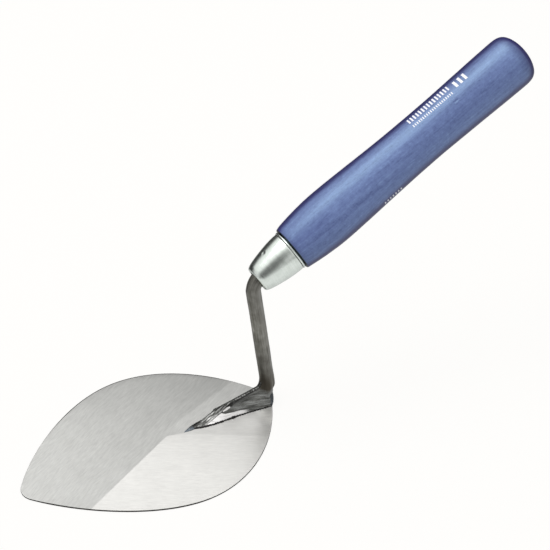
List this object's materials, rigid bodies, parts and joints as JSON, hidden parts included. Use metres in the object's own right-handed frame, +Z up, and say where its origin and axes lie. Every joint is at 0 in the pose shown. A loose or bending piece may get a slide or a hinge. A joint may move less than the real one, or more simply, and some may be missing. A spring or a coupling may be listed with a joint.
{
  "type": "brick trowel",
  "caption": "Leaf-shaped bricklaying trowel: flat ground steel blade, cranked round-bar neck welded on by a long foot, steel ferrule and turned wooden handle.",
  "frame": {"origin": "on the blade's underside and centreline, below the crank of the neck, 8 mm ahead of the heel point", "axes": "+X towards the blade's tip, +Z up off the blade, the handle rises towards -X in the XZ plane"},
  "size_m": [0.3361, 0.1186, 0.1858],
  "materials": {
    "blade_steel": "ground with a fine straight grain",
    "forged_steel": "dark forged skin with light lengthwise marks",
    "weld_metal": "rough, blued by heat",
    "plated_steel": "bright satin zinc plate",
    "lacquered_wood": "pearly blue lacquer over beech"
  },
  "bodies": {
    "root": {"blade": "blade_steel", "neck": "forged_steel", "weld_toe": "weld_metal", "weld_left": "weld_metal", "weld_right": "weld_metal", "weld_heel": "weld_metal", "ferrule": "plated_steel", "handle": "lacquered_wood"}
  },
  "joints": []
}
